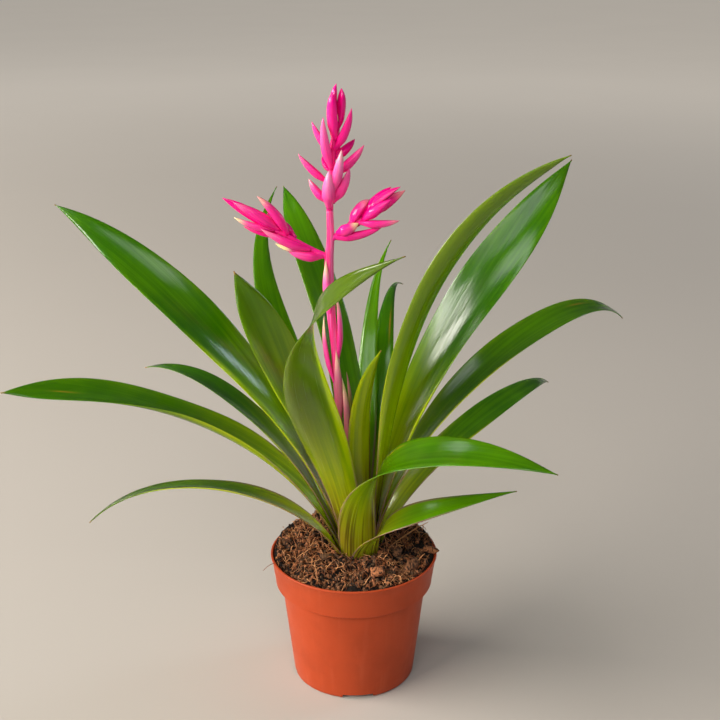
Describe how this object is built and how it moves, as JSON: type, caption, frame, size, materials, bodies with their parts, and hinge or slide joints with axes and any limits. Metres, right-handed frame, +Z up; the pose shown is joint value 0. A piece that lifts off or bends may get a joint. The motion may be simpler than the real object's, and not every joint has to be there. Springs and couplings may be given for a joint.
{
  "type": "potted bromeliad",
  "caption": "Bromeliad with arching strap leaves and a branched pink flower head, growing in a tapered plastic nursery pot that stands on its flat base.",
  "frame": {"origin": "centre of the pot's underside, on the surface that the pot stands on", "axes": "+Z up along the pot's axis, +X to the plant's right as seen from its front, -Y towards the front"},
  "size_m": [0.4474, 0.3479, 0.4274],
  "materials": {
    "pot_plastic": "satin terracotta-coloured moulded plastic",
    "soil": "rough coir fibre and bark chips",
    "leaf": "glossy green leaf with fine lengthwise veins",
    "stalk": "smooth pink stalk with papery cream bracts",
    "bract": "glossy hot pink bracts"
  },
  "bodies": {
    "root": {"pot": "pot_plastic", "soil": "soil", "leaf_back_broad": "leaf", "leaf_front_inner": "leaf", "leaf_back_narrow": "leaf", "leaf_left_upright": "leaf", "leaf_right_high": "leaf", "leaf_back_slender": "leaf", "leaf_back_hooked": "leaf", "leaf_left_broad": "leaf", "leaf_right_broad": "leaf", "leaf_front_twisted": "leaf", "leaf_left_narrow": "leaf", "leaf_right_arched": "leaf", "leaf_left_long": "leaf", "leaf_right_low": "leaf", "leaf_rear_left": "leaf", "leaf_front_arched": "leaf", "leaf_left_low": "leaf", "leaf_front_low": "leaf", "leaf_rear_right": "leaf", "flower_stalk": "stalk", "flower_spray_top": "bract", "flower_spray_left": "bract", "flower_spray_right": "bract"}
  },
  "joints": []
}
